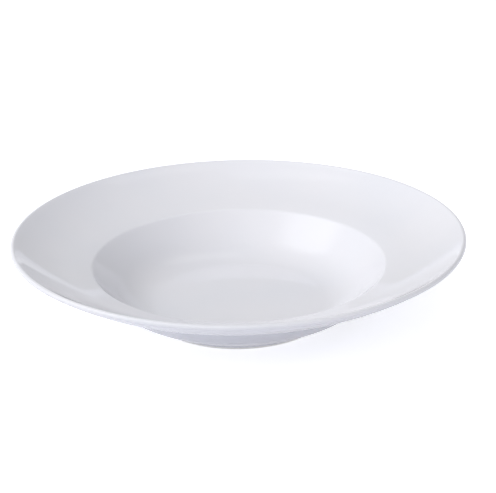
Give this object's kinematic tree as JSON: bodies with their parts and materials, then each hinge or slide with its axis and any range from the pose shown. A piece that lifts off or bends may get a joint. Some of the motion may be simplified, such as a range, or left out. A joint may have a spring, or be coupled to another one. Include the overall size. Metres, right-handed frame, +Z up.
{
  "type": "pasta bowl",
  "caption": "Round white glazed porcelain bowl with a wide sloping rim, a deep round well and a low bare foot ring, for serving pasta or soup.",
  "frame": {"origin": "centre of the foot ring, on the table that the bowl stands on", "axes": "+Z up along the axis that the bowl is turned about; -Y is the side nearest the camera in the picture"},
  "size_m": [0.3, 0.3, 0.059],
  "materials": {
    "biscuit_porcelain": "matt fired porcelain, bare at the foot ring",
    "clear_glaze": "glossy clear glaze over white porcelain"
  },
  "bodies": {
    "root": {"porcelain_body": "biscuit_porcelain", "glaze_coat": "clear_glaze", "base_glaze": "clear_glaze"}
  },
  "joints": []
}
